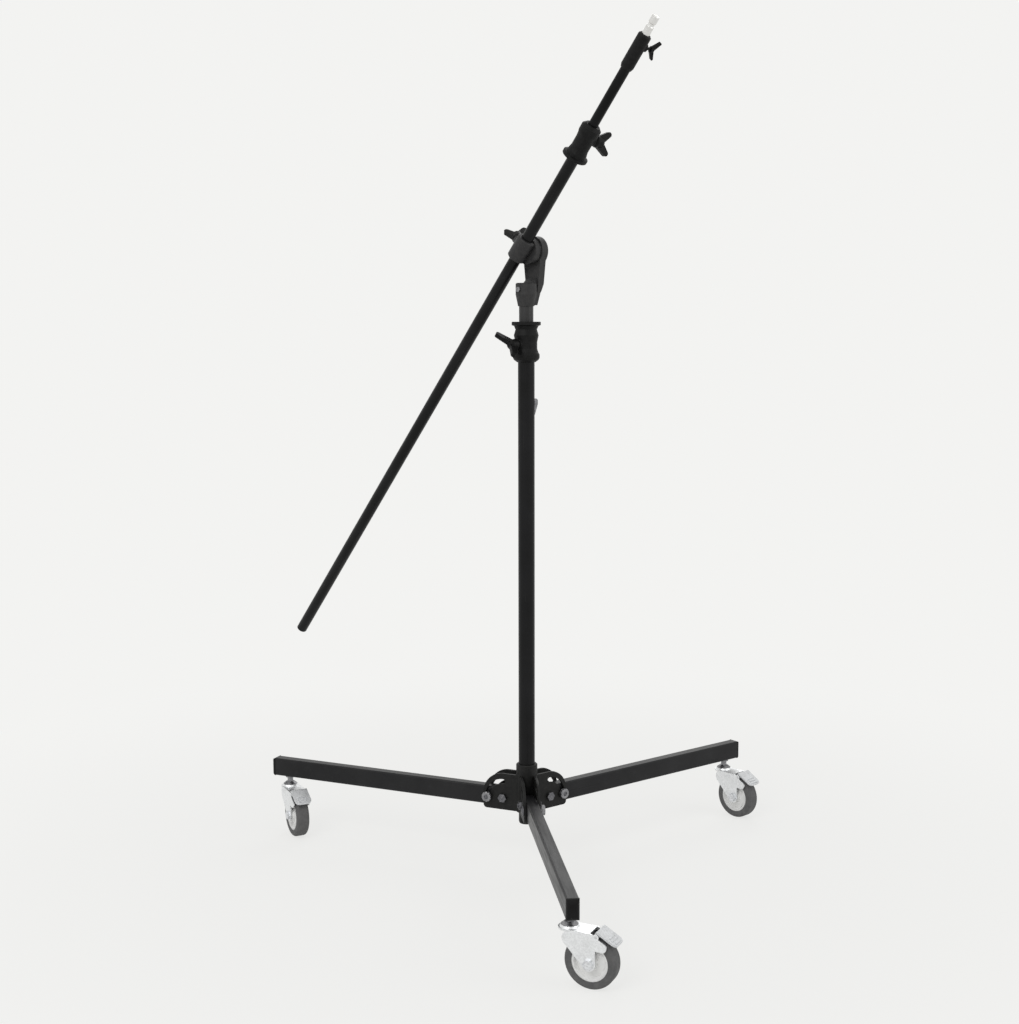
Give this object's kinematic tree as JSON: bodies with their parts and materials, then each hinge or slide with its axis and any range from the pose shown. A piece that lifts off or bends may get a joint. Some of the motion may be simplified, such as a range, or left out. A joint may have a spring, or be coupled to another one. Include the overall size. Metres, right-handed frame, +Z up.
{
  "type": "wheeled boom stand",
  "caption": "Folding wheeled stand with a telescopic column and a telescopic boom that tilts and slides in a clamp and ends in a lamp spigot",
  "frame": {"origin": "on the floor, in the middle of the stand's outline seen from above, 14 mm right of and 20 mm before the column's axis", "axes": "+Z up the column, -Y along the front leg, +X to the right seen from the front"},
  "size_m": [1.1423, 1.282, 1.7498],
  "materials": {
    "tube_paint": "satin black",
    "leg_paint": "satin black",
    "cast_paint": "textured dark grey",
    "black_plastic": "matt black",
    "zinc": "bright zinc",
    "dark_steel": "dull zinc",
    "wheel_plastic": "pale grey",
    "tread": "matt grey",
    "nylon": "off white",
    "plated_steel": "nickel plated"
  },
  "bodies": {
    "base": {"hub": "cast_paint", "leg_pivot_bolts": "zinc", "mast_tube": "tube_paint", "mast_foot_plug": "black_plastic", "mast_collar": "cast_paint", "mast_collar_pad": "nylon", "mast_lug": "zinc", "riser_guide": "nylon"},
    "mast_collar_knob": {"mast_collar_knob": "black_plastic"},
    "leg_front": {"leg_front": "leg_paint", "leg_cap_front": "black_plastic", "leg_lock_bolt_front": "zinc", "caster_stem_front": "dark_steel"},
    "leg_lock_nut_front": {"leg_lock_nut_front": "zinc"},
    "caster_fork_front": {"caster_fork_front": "zinc", "axle_front": "zinc"},
    "wheel_front": {"wheel_core_front": "wheel_plastic", "tyre_front": "tread"},
    "brake_pedal_front": {"brake_pedal_front": "zinc"},
    "leg_right": {"leg_right": "leg_paint", "leg_cap_right": "black_plastic", "leg_lock_bolt_right": "zinc", "caster_stem_right": "dark_steel"},
    "leg_lock_nut_right": {"leg_lock_nut_right": "zinc"},
    "caster_fork_right": {"caster_fork_right": "zinc", "axle_right": "zinc"},
    "wheel_right": {"wheel_core_right": "wheel_plastic", "tyre_right": "tread"},
    "brake_pedal_right": {"brake_pedal_right": "zinc"},
    "leg_left": {"leg_left": "leg_paint", "leg_cap_left": "black_plastic", "leg_lock_bolt_left": "zinc", "caster_stem_left": "dark_steel"},
    "leg_lock_nut_left": {"leg_lock_nut_left": "zinc"},
    "caster_fork_left": {"caster_fork_left": "zinc", "axle_left": "zinc"},
    "wheel_left": {"wheel_core_left": "wheel_plastic", "tyre_left": "tread"},
    "brake_pedal_left": {"brake_pedal_left": "zinc"},
    "riser": {"riser_tube": "tube_paint", "riser_foot_bush": "nylon"},
    "head": {"head_arm": "cast_paint", "socket_bolt": "zinc"},
    "boom_clamp": {"boom_clamp": "cast_paint", "boom_clamp_pad": "nylon", "tilt_bolt": "zinc", "tilt_nut": "zinc", "tilt_washer": "zinc"},
    "boom_clamp_knob": {"boom_clamp_knob": "black_plastic"},
    "boom_outer": {"boom_outer_tube": "tube_paint", "boom_end_cap": "black_plastic", "boom_collar": "cast_paint", "boom_collar_pad": "nylon"},
    "boom_collar_knob": {"boom_collar_knob": "black_plastic"},
    "boom_inner": {"boom_inner_tube": "tube_paint", "boom_inner_bush": "nylon", "tip_fitting": "cast_paint"},
    "tip_knob": {"tip_knob": "black_plastic"},
    "tip_spigot": {"tip_spigot": "plated_steel"}
  },
  "joints": [
    {"name": "leg_fold_front", "type": "hinge", "parent": "base", "child": "leg_front", "pos_m": [-0.014, -0.029, 0.15], "axis": [-1, 0, 0], "range_deg": [0, 90]},
    {"name": "lock_nut_turn_front", "type": "hinge", "parent": "leg_front", "child": "leg_lock_nut_front", "pos_m": [-0.014, -0.065, 0.15], "axis": [-1, 0, 0], "continuous": true},
    {"name": "caster_swivel_front", "type": "hinge", "parent": "leg_front", "child": "caster_fork_front", "pos_m": [-0.014, -0.577, 0.104], "axis": [0, 0, 1], "continuous": true},
    {"name": "wheel_roll_front", "type": "hinge", "parent": "caster_fork_front", "child": "wheel_front", "pos_m": [0.02331, -0.60032, 0.05], "axis": [0.5299, 0.848, 0], "continuous": true},
    {"name": "brake_press_front", "type": "hinge", "parent": "caster_fork_front", "child": "brake_pedal_front", "pos_m": [0.03519, -0.60774, 0.102], "axis": [0.5299, 0.848, 0], "range_deg": [0, 4.5]},
    {"name": "leg_fold_right", "type": "hinge", "parent": "base", "child": "leg_right", "pos_m": [0.02843, 0.0445, 0.15], "axis": [0.5, -0.866, 0], "range_deg": [0, 90]},
    {"name": "lock_nut_turn_right", "type": "hinge", "parent": "leg_right", "child": "leg_lock_nut_right", "pos_m": [0.05961, 0.0625, 0.15], "axis": [0.5, -0.866, 0], "continuous": true},
    {"name": "caster_swivel_right", "type": "hinge", "parent": "leg_right", "child": "caster_fork_right", "pos_m": [0.50302, 0.3185, 0.104], "axis": [0, 0, 1], "continuous": true},
    {"name": "wheel_roll_right", "type": "hinge", "parent": "caster_fork_right", "child": "wheel_right", "pos_m": [0.52888, 0.2829, 0.05], "axis": [0.809, 0.5878, 0], "continuous": true},
    {"name": "brake_press_right", "type": "hinge", "parent": "caster_fork_right", "child": "brake_pedal_right", "pos_m": [0.53711, 0.27158, 0.102], "axis": [0.809, 0.5878, 0], "range_deg": [0, 4.5]},
    {"name": "leg_fold_left", "type": "hinge", "parent": "base", "child": "leg_left", "pos_m": [-0.05643, 0.0445, 0.15], "axis": [0.5, 0.866, 0], "range_deg": [0, 90]},
    {"name": "lock_nut_turn_left", "type": "hinge", "parent": "leg_left", "child": "leg_lock_nut_left", "pos_m": [-0.08761, 0.0625, 0.15], "axis": [0.5, 0.866, 0], "continuous": true},
    {"name": "caster_swivel_left", "type": "hinge", "parent": "leg_left", "child": "caster_fork_left", "pos_m": [-0.53102, 0.3185, 0.104], "axis": [0, 0, 1], "continuous": true},
    {"name": "wheel_roll_left", "type": "hinge", "parent": "caster_fork_left", "child": "wheel_left", "pos_m": [-0.51597, 0.27715, 0.05], "axis": [0.9397, 0.342, 0], "continuous": true},
    {"name": "brake_press_left", "type": "hinge", "parent": "caster_fork_left", "child": "brake_pedal_left", "pos_m": [-0.51118, 0.264, 0.102], "axis": [0.9397, 0.342, 0], "range_deg": [0, 4.5]},
    {"name": "mast_collar_knob_turn", "type": "hinge", "parent": "base", "child": "mast_collar_knob", "pos_m": [-0.014, 0.02, 1.13], "axis": [-0.8192, -0.5736, 0], "continuous": true},
    {"name": "riser_slide", "type": "slide", "parent": "base", "child": "riser", "axis": [0, 0, 1], "range_m": [-0.03, 0.85]},
    {"name": "head_turn", "type": "hinge", "parent": "riser", "child": "head", "pos_m": [-0.014, 0.02, 1.209], "axis": [0, 0, 1], "continuous": true},
    {"name": "boom_tilt", "type": "hinge", "parent": "head", "child": "boom_clamp", "pos_m": [-0.014, 0.02, 1.323], "axis": [0.7859, 0.6184, 0], "range_deg": [-12, 111]},
    {"name": "boom_clamp_knob_turn", "type": "hinge", "parent": "boom_clamp", "child": "boom_clamp_knob", "pos_m": [-0.02358, 0.01924, 1.32754], "axis": [-0.1106, 0.7982, 0.5921], "continuous": true},
    {"name": "boom_slide", "type": "slide", "parent": "boom_clamp", "child": "boom_outer", "axis": [0.4008, -0.5093, 0.7615], "range_m": [-0.12, 1]},
    {"name": "boom_collar_knob_turn", "type": "hinge", "parent": "boom_outer", "child": "boom_collar_knob", "pos_m": [0.08604, -0.12006, 1.53582], "axis": [0.8764, 0.4553, -0.1568], "continuous": true},
    {"name": "boom_inner_slide", "type": "slide", "parent": "boom_outer", "child": "boom_inner", "axis": [0.4008, -0.5093, 0.7615], "range_m": [-0.125, 0.75]},
    {"name": "tip_knob_turn", "type": "hinge", "parent": "boom_inner", "child": "tip_knob", "pos_m": [0.17041, -0.22727, 1.69612], "axis": [0.8764, 0.4553, -0.1568], "continuous": true},
    {"name": "spigot_turn", "type": "hinge", "parent": "boom_inner", "child": "tip_spigot", "pos_m": [0.18043, -0.24001, 1.71516], "axis": [0.4008, -0.5093, 0.7615], "continuous": true}
  ]
}
